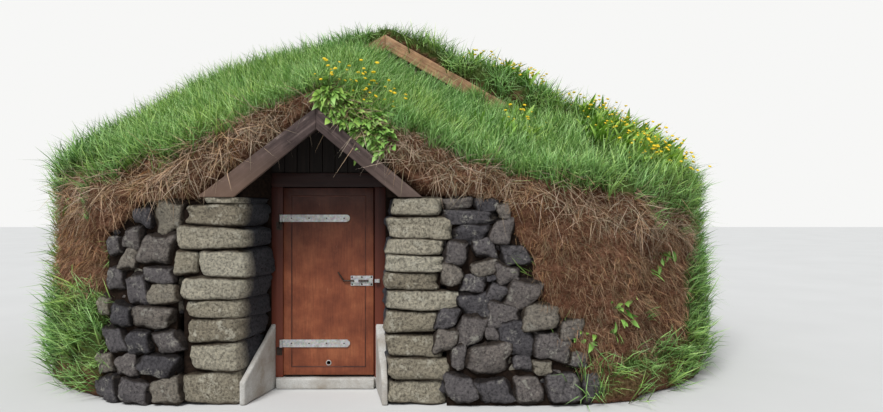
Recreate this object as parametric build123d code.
# A small turf house: a stone and earth mound around one boarded room, with a low gabled porch in front.
# All sizes are in millimetres. +Z is up, +X is to the right of someone facing the door, and the door
# faces -Y. The origin is on the lowest ground, in the middle of the footprint.
from build123d import *
import math
import os

# The earth and stone mass
house_width = 6600
house_length = 6400
front_corner_radius = 2000
rear_corner_radius = 1100
wall_batter = 2.5            # degrees that the outer faces lean inwards
stone_height = 1600          # top of the stone walls, where the turf courses begin
front_bank_left = 1200       # widths of the rounded earth banks beside the stone front
front_bank_right = 1400
cutter_height = 5000         # tall enough to pass the crest of the mound
mound_overreach = 100        # the cross-sections run this far past the footprint

# The room
room_width = 3300
gable_setback = 2000         # from the front of the house to the main gable
rear_wall_depth = 1100       # from the rear gable to the back of the house
plate_pocket = 200           # width of the ledge inside the side walls that carries the wall plates

# The main roof
roof_apex = 3400             # upper face of the roof boards at the ridge
roof_pitch = 29.5            # degrees
roof_board = 35              # thickness, measured vertically
eaves_width = 1000           # from the lower end of the boards to the outside of the house
rafter_depth = 138           # measured vertically
rafter_width = 80
rafter_count = 6
rafter_end_gap = 60          # from a gable's boarding to the first rafter
ridge_beam_width = 100
ridge_beam_depth = 200
wall_plate_width = 120
wall_plate_depth = 135       # at its lower, outer edge
gable_boarding = 40          # thickness of the boarded gables
bargeboard_rise = 20         # the bargeboards stand this far above the roof boards
bargeboard_depth = 160       # measured vertically
bargeboard_thick = 35

# The turf on the main roof
ridge_turf = 120             # turf on the boards at the ridge
flank_x = 1250
flank_turf_left = 420
flank_turf_right = 300
eaves_turf_left = 560        # turf on the lower ends of the boards
eaves_turf_right = 430
shoulder_inset = 400         # from the outside of the house
shoulder_fall = 330          # below the turf at the ends of the boards
edge_fall = 820

# The turf against the main gable and the rear gable, as (x, depth below the roof boards' upper face)
apron_crest = (-100, 143)
apron_left = (-1250, -400)
apron_right = (1000, 210)
rear_apron_crest = (0, 1070)
rear_apron_flank = (1250, 250)

# The turf at the front, as heights above the top of the stone walls
brow_crest = 850
brow_left = (-1080, 540)
brow_right = (550, 370)
brow_eaves_left = 150
brow_eaves_right = (1800, 80)
brow_shoulder_left = 40
brow_shoulder_right = -100
brow_shoulder_inset = 700    # on the right, from the outside of the house
brow_edge_left = -60
brow_edge_right = -200

# The turf at the back, as heights above the top of the stone walls
rear_brow_crest = 140
rear_brow_flank = 100
rear_brow_eaves = 20
rear_brow_shoulder = -60
rear_brow_edge = -150

# The porch
porch_x = -370               # middle of the porch gable
passage_left = -850          # faces of the passage walls
passage_right = 130
recess_depth = 500           # from the front of the house to the door frame
splay_left = 122             # how much each stone jamb opens out towards the front
splay_right = 60
pier_left_x = -1470          # outer sides of the piers
pier_right_x = 650
pier_height = 1630
eaves_slab = 53              # thin stone under the left bargeboard
eaves_slab_reach = 220
porch_apex = 2330            # upper edge of the bargeboards
porch_inner_apex = 2160      # lower edge of the bargeboards
porch_span_left = 930        # from the middle to the outer corner of each bargeboard's foot
porch_span_right = 830
porch_inner_span = 644
porch_bargeboard_thick = 40
porch_bargeboard_proud = 15  # the bargeboards stand this far in front of the piers
porch_board = 40             # thickness of the porch roof boards, measured vertically
porch_board_drop = 15        # below the bargeboards' upper edge

# The door frame
frame_depth = 120
post_left = 100
post_right = 94
leaf_gap_hinge = 5
leaf_gap_latch = 8
threshold_height = 90
threshold_nose = 50
threshold_nose_inset = 50
head_bottom = 1722
head_height = 123
stop_gap = 6
stop_width_hinge = 12
stop_width_latch = 20
tympanum_thick = 30
tympanum_setback = 10

# The door leaf
leaf_bottom = 112
leaf_top = 1715
leaf_thick = 46
leaf_proud = 6               # the leaf stands this far in front of its frame
panel_border = 70
panel_sink = 4
peep_radius = 17
peep_height = 215

# The strap hinges
hinge_inset = 20             # from the hinge pin to the leaf's edge
strap_thick = 6
strap_length = 590
strap_heights = {"strap_upper": (1455, 61), "strap_lower": (383, 65)}
strap_nose = 35
strap_hole_radius = 6
strap_hole_pitch = 150
strap_first_hole = 90
knuckle_radius = 12.5
pin_radius = 6.2
pin_clearance = 0.3
pintle_lug = 26
pintle_plate = 70
pintle_plate_thick = 4
pintle_plate_width = 48
pintle_rest_gap = 0.5

# The sliding bolt
bolt_height = 920
bolt_radius = 7
bolt_length = 250
bolt_end_inset = 8           # the drawn-back bolt ends this far inside the leaf's edge
bolt_standoff = 13           # from the leaf's face to the middle of the bar
bolt_slack = 0.7
bolt_plate_height = 85
bolt_plate_length = 190
bolt_plate_thick = 3
bolt_plate_inset = 6
staple_length = 34
staple_wall = 5
keeper_length = 40
keeper_gap = 4               # from the frame's inner edge to the keeper
keeper_slack = 2
handle_radius = 6
handle_length = 90
handle_tilt = 35             # degrees from upright

# The low concrete walls beside the doorway
wing_thick_front = 45
wing_thick_back_left = 40
wing_thick_back_right = 85
wing_top_back = 550
wing_top_front = 180

# Places worked out from the sizes above
half_width = house_width / 2
front_y = -(house_length - porch_bargeboard_proud) / 2
rear_y = front_y + house_length
gable_y = front_y + gable_setback
rear_gable_y = rear_y - rear_wall_depth
frame_y = front_y + recess_depth
frame_back_y = frame_y + frame_depth
half_room = room_width / 2
roof_slope = math.tan(math.radians(roof_pitch))
mound_x = half_width + mound_overreach
roof_board_reach = half_width - eaves_width
shoulder_x = half_width - shoulder_inset
pocket_x = half_room + plate_pocket
roof_depth = roof_board + rafter_depth
slope_left = (porch_apex - pier_height) / porch_span_left
slope_right = (porch_apex - pier_height) / porch_span_right
porch_board_top = porch_apex - porch_board_drop
porch_board_under = porch_board_top - porch_board
porch_boards_front = front_y - porch_bargeboard_proud + porch_bargeboard_thick
opening_left = passage_left + post_left
opening_right = passage_right - post_right
leaf_left = opening_left + leaf_gap_hinge
leaf_right = opening_right - leaf_gap_latch
leaf_front = frame_y - leaf_proud
leaf_back = leaf_front + leaf_thick
hinge_x = leaf_left - hinge_inset
hinge_y = leaf_front - knuckle_radius


def box(x_from, x_to, y_from, y_to, z_from, z_to):
    """A block between two corners."""
    middle = ((x_from + x_to) / 2, (y_from + y_to) / 2, (z_from + z_to) / 2)
    return Pos(*middle) * Box(x_to - x_from, y_to - y_from, z_to - z_from)


def along_y(outline, y_from, y_to):
    """A closed outline of (x, z) points, run from y_from to y_to."""
    wire = Polyline([(x, y_from, z) for x, z in outline], close=True)
    return extrude(make_face(wire), amount=y_to - y_from, dir=(0, 1, 0))


def along_z(outline, z_from, z_to):
    """A closed outline of (x, y) points, run from z_from to z_to."""
    wire = Polyline([(x, y, z_from) for x, y in outline], close=True)
    return extrude(make_face(wire), amount=z_to - z_from, dir=(0, 0, 1))


def upright(radius, x, y, z_from, z_to):
    """A round bar that stands upright."""
    return Pos(x, y, (z_from + z_to) / 2) * Cylinder(radius, z_to - z_from)


def crosswise(radius, x_from, x_to, y, z):
    """A round bar that lies along X."""
    return Pos((x_from + x_to) / 2, y, z) * Rot(0, 90, 0) * Cylinder(radius, x_to - x_from)


def roof_z(x, drop=0):
    """Height of the main roof boards' upper face at x, less drop."""
    return roof_apex - abs(x) * roof_slope - drop


def porch_z(x, apex):
    """Height at x of a line that falls from apex as the porch roof does."""
    slope = slope_left if x < porch_x else slope_right
    return apex - abs(x - porch_x) * slope


def porch_foot_x(side):
    """Where the porch boards' lower face comes down to the top of the stone wall."""
    slope = slope_left if side < 0 else slope_right
    return porch_x + side * (porch_board_under - stone_height) / slope


def section(y, knots):
    """The mound's cross-section at y. Its upper side is four arcs through nine (x, z) knots."""
    points = [(x, y, z) for x, z in knots]
    arcs = [ThreePointArc(*points[start:start + 3]) for start in (0, 2, 4, 6)]
    ground = Polyline(points[-1], (points[-1][0], y, 0), (points[0][0], y, 0), points[0])
    return make_face([*arcs, *ground.edges()])


def mirrored(knots):
    """The same knots on the left side, from the outside in."""
    return [(-x, z) for x, z in reversed(knots)]


def eaves_knots(turf):
    """The knots from the lower end of the roof boards to the outside of the house, on the right."""
    eaves_z = roof_z(roof_board_reach) + turf
    return [(roof_board_reach, eaves_z), (shoulder_x, eaves_z - shoulder_fall),
            (mound_x, eaves_z - edge_fall)]


def gable_section(y, middle):
    """A cross-section between the eaves of the main roof's turf. middle holds (x, depth) knots."""
    between = [(x, roof_z(x, depth)) for x, depth in middle]
    return section(y, mirrored(eaves_knots(eaves_turf_left)) + between + eaves_knots(eaves_turf_right))


def brow_section(y, knots):
    """A cross-section with its knots given as heights above the stone walls."""
    return section(y, [(x, stone_height + above) for x, above in knots])


def footprint():
    """The whole mass with its rounded corners and leaning faces, taller than the house."""
    plan = Rectangle(house_width, house_length)
    plan = fillet(plan.vertices().filter_by(lambda v: v.Y < 0), front_corner_radius)
    plan = fillet(plan.vertices().filter_by(lambda v: v.Y > rear_corner_radius), rear_corner_radius)
    return Pos(0, (front_y + rear_y) / 2, 0) * extrude(plan, amount=cutter_height, taper=wall_batter)


def mound_parts():
    """The outer form of the house in three lengths: around the porch, around the room, behind it."""
    brow = brow_section(front_y, [
        (-mound_x, brow_edge_left), (-shoulder_x, brow_shoulder_left),
        (-roof_board_reach, brow_eaves_left), brow_left, (porch_x, brow_crest), brow_right,
        brow_eaves_right, (half_width - brow_shoulder_inset, brow_shoulder_right),
        (mound_x, brow_edge_right)])
    apron = gable_section(gable_y, [apron_left, apron_crest, apron_right])
    roof = gable_section(gable_y, [
        (-flank_x, -flank_turf_left), (0, -ridge_turf), (flank_x, -flank_turf_right)])
    rear_apron = gable_section(rear_gable_y, [
        *mirrored([rear_apron_flank]), rear_apron_crest, rear_apron_flank])
    rear_side = [(flank_x, rear_brow_flank), (roof_board_reach, rear_brow_eaves),
                 (shoulder_x, rear_brow_shoulder), (mound_x, rear_brow_edge)]
    rear_brow = brow_section(rear_y, mirrored(rear_side) + [(0, rear_brow_crest)] + rear_side)
    mass = footprint()
    front = loft([brow, apron], ruled=True) & mass
    middle = extrude(roof, amount=rear_gable_y - gable_y, dir=(0, 1, 0)) & mass
    rear = loft([rear_apron, rear_brow], ruled=True) & mass
    return front, middle, rear


def room_outline():
    """Outline of the hollow under the roof boards, with the ledges that carry the wall plates."""
    wall_top = roof_z(half_room + wall_plate_width, roof_depth) - wall_plate_depth
    right = [(half_room, 0), (half_room, wall_top), (pocket_x, wall_top),
             (pocket_x, roof_z(pocket_x, roof_board)), (0, roof_z(0, roof_board))]
    return right + [(-x, z) for x, z in reversed(right[:-1])]


def recess():
    """The splayed space in front of the door frame, as tall as the mound."""
    return along_z([(passage_left - splay_left, front_y), (passage_left, frame_y),
                    (passage_right, frame_y), (passage_right + splay_right, front_y),
                    (passage_right + splay_right, front_y - recess_depth),
                    (passage_left - splay_left, front_y - recess_depth)], 0, cutter_height)


def piers():
    """The two stone jambs. A thin slab lies on the left one."""
    jamb_left = passage_left - splay_left
    jamb_right = passage_right + splay_right
    slab_from = jamb_left - eaves_slab_reach
    left = along_z([(pier_left_x, front_y), (jamb_left, front_y), (passage_left, frame_y),
                    (pier_left_x, frame_y)], 0, pier_height - eaves_slab)
    left += along_z([(slab_from, front_y), (jamb_left, front_y), (passage_left, frame_y),
                     (slab_from, frame_y)], pier_height - eaves_slab, pier_height)
    right = along_z([(jamb_right, front_y), (pier_right_x, front_y), (pier_right_x, frame_y),
                     (passage_right, frame_y)], 0, pier_height)
    return left, right


def porch_wood():
    """Roof boards and bargeboards of the porch, one of each on each side."""
    made = {}
    for name, side, span in (("left", -1, porch_span_left), ("right", 1, porch_span_right)):
        foot = porch_foot_x(side)
        boards = [(porch_x, porch_board_top), (porch_x, porch_board_under), (foot, stone_height),
                  (foot, stone_height + porch_board)]
        made[f"porch_boards_{name}"] = along_y(boards, porch_boards_front, gable_y)
        face = [(porch_x, porch_apex), (porch_x, porch_inner_apex),
                (porch_x + side * porch_inner_span, pier_height), (porch_x + side * span, pier_height)]
        made[f"porch_bargeboard_{name}"] = along_y(
            face, front_y - porch_bargeboard_proud, porch_boards_front)
    return made


def gable_bargeboards(y, label):
    """The pair of bargeboards whose front or back lies at y."""
    top = bargeboard_rise
    made = {}
    for name, side in (("left", -1), ("right", 1)):
        end = side * pocket_x
        face = [(0, roof_z(0, -top)), (0, roof_z(0, bargeboard_depth - top)),
                (end, roof_z(end, bargeboard_depth - top)), (end, roof_z(end, -top))]
        made[f"{label}_bargeboard_{name}"] = along_y(face, y, y + bargeboard_thick)
    return made


def front_masonry(front, pier_left, pier_right, bargeboards):
    """Stone walls, rounded banks and turf on both sides of the porch, around the piers."""
    made = {}
    for name, side, bank_width, inner, pier in (
            ("left", -1, front_bank_left, passage_left, pier_left),
            ("right", 1, front_bank_right, passage_right, pier_right)):
        foot = porch_foot_x(side)
        outer = side * (half_width - bank_width)
        wall = along_y([(outer, 0), (inner, 0), (inner, porch_z(inner, porch_board_under)),
                        (foot, stone_height), (outer, stone_height)], front_y, gable_y)
        turf = along_y([(outer, stone_height), (foot, stone_height), (foot, stone_height + porch_board),
                        (porch_x, porch_board_top), (porch_x, cutter_height), (outer, cutter_height)],
                       front_y, gable_y)
        bank = along_y([(outer, 0), (side * mound_x, 0), (side * mound_x, cutter_height),
                        (outer, cutter_height)], front_y, gable_y)
        made[f"front_wall_{name}"] = (wall & front) - recess() - pier
        made[f"front_bank_{name}"] = (bank & front) - bargeboards
        made[f"porch_turf_{name}"] = (turf & front) - pier - bargeboards
    return made


def roof_and_walls(middle):
    """Side walls, roof boards, turf and roof timbers around the room."""
    made = {}
    hollow = along_y(room_outline(), gable_y, rear_gable_y)
    inside_from = gable_y + gable_boarding
    inside_to = rear_gable_y - gable_boarding
    beam_x = ridge_beam_width / 2
    plate_x = half_room + wall_plate_width
    for name, side in (("left", -1), ("right", 1)):
        end = side * roof_board_reach
        edge = side * mound_x
        boards = along_y([(0, roof_z(0)), (end, roof_z(end)), (end, roof_z(end, roof_board)),
                          (0, roof_z(0, roof_board))], gable_y, rear_gable_y)
        above = along_y([(0, roof_z(0)), (edge, roof_z(edge)), (edge, cutter_height),
                         (0, cutter_height)], gable_y, rear_gable_y)
        half = along_y([(0, 0), (edge, 0), (edge, cutter_height), (0, cutter_height)],
                       gable_y, rear_gable_y)
        made[f"main_boards_{name}"] = boards
        made[f"main_turf_{name}"] = above & middle
        made[f"side_wall_{name}"] = (half & middle) - above - boards - hollow
        plate_foot = roof_z(plate_x, roof_depth) - wall_plate_depth
        plate = [(side * half_room, plate_foot), (side * plate_x, plate_foot),
                 (side * plate_x, roof_z(plate_x, roof_depth)),
                 (side * half_room, roof_z(half_room, roof_depth))]
        made[f"wall_plate_{name}"] = along_y(plate, inside_from, inside_to)
        rafter = [(side * beam_x, roof_z(beam_x, roof_board)),
                  (side * pocket_x, roof_z(pocket_x, roof_board)),
                  (side * pocket_x, roof_z(pocket_x, roof_depth)),
                  (side * beam_x, roof_z(beam_x, roof_depth))]
        first = inside_from + rafter_end_gap
        pitch = (inside_to - rafter_end_gap - rafter_width - first) / (rafter_count - 1)
        made[f"rafters_{name}"] = Compound(children=[
            along_y(rafter, first + step * pitch, first + step * pitch + rafter_width)
            for step in range(rafter_count)])
    beam = [(-beam_x, roof_z(beam_x, roof_board)), (0, roof_z(0, roof_board)),
            (beam_x, roof_z(beam_x, roof_board)), (beam_x, roof_z(0, roof_board) - ridge_beam_depth),
            (-beam_x, roof_z(0, roof_board) - ridge_beam_depth)]
    made["ridge_beam"] = along_y(beam, inside_from, inside_to)
    doorway = box(passage_left, passage_right, gable_y, inside_from, 0, head_bottom + head_height)
    made["main_gable_panel"] = along_y(room_outline(), gable_y, inside_from) - doorway
    made["rear_gable_panel"] = along_y(room_outline(), inside_to, rear_gable_y)
    return made


def rear_masonry(rear, bargeboards):
    """The stone wall behind the room, and the turf on it."""
    below = box(-mound_x, mound_x, rear_gable_y, rear_y, 0, stone_height)
    above = box(-mound_x, mound_x, rear_gable_y, rear_y, stone_height, cutter_height)
    return {"rear_wall": rear & below, "rear_turf": (rear & above) - bargeboards}


def door_frame():
    """Two rebated posts, a head, the boarding over it and the threshold."""
    stop_y = leaf_back + stop_gap
    left = along_z([(passage_left, frame_y), (opening_left, frame_y), (opening_left, stop_y),
                    (opening_left + stop_width_hinge, stop_y),
                    (opening_left + stop_width_hinge, frame_back_y), (passage_left, frame_back_y)],
                   threshold_height, head_bottom)
    right = along_z([(passage_right, frame_y), (opening_right, frame_y), (opening_right, stop_y),
                     (opening_right - stop_width_latch, stop_y),
                     (opening_right - stop_width_latch, frame_back_y), (passage_right, frame_back_y)],
                    threshold_height, head_bottom)
    head_top = head_bottom + head_height
    head = box(passage_left, passage_right, frame_y, frame_back_y, head_bottom, head_top)
    head += box(opening_left + stop_width_hinge, opening_right - stop_width_latch, stop_y, frame_back_y,
                head_bottom - stop_width_latch, head_bottom)
    boarding = [(passage_left, head_top), (passage_right, head_top),
                (passage_right, porch_z(passage_right, porch_board_under)), (porch_x, porch_board_under),
                (passage_left, porch_z(passage_left, porch_board_under))]
    tympanum_y = frame_y + tympanum_setback
    threshold = box(passage_left, passage_right, frame_y, frame_back_y, 0, threshold_height)
    threshold += box(opening_left - threshold_nose_inset, opening_right, frame_y - threshold_nose,
                     frame_y, 0, threshold_height)
    return {"frame_post_left": left, "frame_post_right": right, "frame_head": head,
            "porch_tympanum": along_y(boarding, tympanum_y, tympanum_y + tympanum_thick),
            "threshold": threshold}


def door_leaf():
    """The leaf, with a sunk panel on its outer face and a small round hole low down."""
    leaf = box(leaf_left, leaf_right, leaf_front, leaf_back, leaf_bottom, leaf_top)
    leaf -= box(leaf_left + panel_border, leaf_right - panel_border, leaf_front,
                leaf_front + panel_sink, leaf_bottom + panel_border, leaf_top - panel_border)
    middle_x = (leaf_left + leaf_right) / 2
    hole = Pos(middle_x, (leaf_front + leaf_back) / 2, peep_height) * Rot(90, 0, 0)
    return leaf - hole * Cylinder(peep_radius, leaf_thick)


def strap(height, depth, pointed):
    """A strap hinge with its knuckle, laid on the leaf at a height."""
    end = hinge_x + strap_length
    low = height - depth / 2
    high = height + depth / 2
    plate = box(hinge_x, end, leaf_front - strap_thick, leaf_front, low, high)
    corners = plate.edges().filter_by(Axis.Y).group_by(Axis.X)[-1]
    plate = chamfer(corners, depth / 3) if pointed else fillet(corners, depth / 2 - 1)
    plate += upright(knuckle_radius, hinge_x, hinge_y, low, high)
    plate -= upright(pin_radius + pin_clearance, hinge_x, hinge_y, low, high)
    for step in range(int((strap_length - strap_first_hole - strap_nose) / strap_hole_pitch) + 1):
        x = hinge_x + strap_first_hole + step * strap_hole_pitch
        hole = Pos(x, leaf_front - strap_thick / 2, height) * Rot(90, 0, 0)
        plate -= hole * Cylinder(strap_hole_radius, strap_thick)
    return plate


def pintle(height, depth):
    """The pin that a strap turns on, with its lug and plate on the frame post."""
    low = height - depth / 2 - pintle_rest_gap
    pin = upright(pin_radius, hinge_x, hinge_y, low - pintle_lug, height + depth / 2)
    lug = upright(knuckle_radius, hinge_x, hinge_y, low - pintle_lug, low)
    lug += box(hinge_x - knuckle_radius, hinge_x + knuckle_radius / 2, hinge_y, frame_y,
               low - pintle_lug, low)
    plate_to = hinge_x + knuckle_radius / 2
    plate = box(plate_to - pintle_plate_width, plate_to, frame_y - pintle_plate_thick, frame_y,
                low - pintle_plate, low)
    return pin + lug + plate


def sliding_bolt():
    """The bolt's plate and staples on the leaf, its bar with a handle, and its keeper on the frame."""
    bar_y = leaf_front - bolt_standoff
    tip = leaf_right - bolt_end_inset
    plate_to = leaf_right - bolt_plate_inset
    plate_from = plate_to - bolt_plate_length
    low = bolt_height - bolt_plate_height / 2
    high = bolt_height + bolt_plate_height / 2
    plate = box(plate_from, plate_to, leaf_front - bolt_plate_thick, leaf_front, low, high)
    reach = bolt_radius + bolt_slack + staple_wall
    for x_from in (plate_from + staple_length, plate_to - staple_length):
        plate += box(x_from, x_from + staple_length, bar_y - reach, leaf_front - bolt_plate_thick,
                     bolt_height - reach, bolt_height + reach)
    plate -= crosswise(bolt_radius + bolt_slack, plate_from, plate_to, bar_y, bolt_height)
    bar = crosswise(bolt_radius, tip - bolt_length, tip, bar_y, bolt_height)
    handle = Pos(tip - bolt_length + handle_radius, bar_y, bolt_height) * Rot(0, -handle_tilt, 0)
    bar += handle * Pos(0, 0, handle_length / 2) * Cylinder(handle_radius, handle_length)
    keeper_from = opening_right + keeper_gap
    keeper_reach = bolt_radius + keeper_slack + staple_wall
    keeper = box(keeper_from, keeper_from + keeper_length, bar_y - keeper_reach, frame_y,
                 bolt_height - keeper_reach, bolt_height + keeper_reach)
    keeper -= crosswise(bolt_radius + keeper_slack, keeper_from, keeper_from + keeper_length,
                        bar_y, bolt_height)
    return {"bolt_plate": plate, "bolt_bar": bar, "bolt_keeper": keeper}


def wing(jamb_front, inner_front, inner_back, jamb_back):
    """A low wall against a jamb, whose top falls towards the front."""
    blank = along_z([(jamb_front, front_y), (inner_front, front_y), (inner_back, frame_y),
                     (jamb_back, frame_y)], 0, wing_top_back)
    x_from = min(jamb_front, inner_back)
    x_to = max(jamb_front, inner_back)
    fall = Polyline([(x_from, front_y, wing_top_front), (x_from, frame_y, wing_top_back),
                     (x_from, front_y, wing_top_back)], close=True)
    return blank - extrude(make_face(fall), amount=x_to - x_from, dir=(1, 0, 0))


def build():
    """Every piece of the house by the name of its node."""
    front, middle, rear = mound_parts()
    pier_left, pier_right = piers()
    main_bargeboards = gable_bargeboards(gable_y - bargeboard_thick, "main")
    rear_bargeboards = gable_bargeboards(rear_gable_y, "rear")
    jamb_left = passage_left - splay_left
    jamb_right = passage_right + splay_right
    nodes = porch_wood()
    nodes["pier_left"] = pier_left - nodes["porch_boards_left"]
    nodes["pier_right"] = pier_right - nodes["porch_boards_right"]
    nodes |= main_bargeboards
    nodes |= rear_bargeboards
    nodes |= front_masonry(front, pier_left, pier_right, list(main_bargeboards.values()))
    nodes |= roof_and_walls(middle)
    nodes |= rear_masonry(rear, list(rear_bargeboards.values()))
    nodes |= door_frame()
    nodes["door_leaf"] = door_leaf()
    for name, (height, depth) in strap_heights.items():
        nodes[name] = strap(height, depth, pointed=name == "strap_lower")
        nodes[name.replace("strap", "pintle")] = pintle(height, depth)
    nodes |= sliding_bolt()
    nodes["wing_left"] = wing(jamb_left, jamb_left + wing_thick_front,
                              passage_left + wing_thick_back_left, passage_left)
    nodes["wing_right"] = wing(jamb_right, jamb_right - wing_thick_front,
                               passage_right - wing_thick_back_right, passage_right)
    return nodes


os.makedirs("parts", exist_ok=True)
for node, shape in build().items():
    export_step(shape, f"parts/{node}.step")
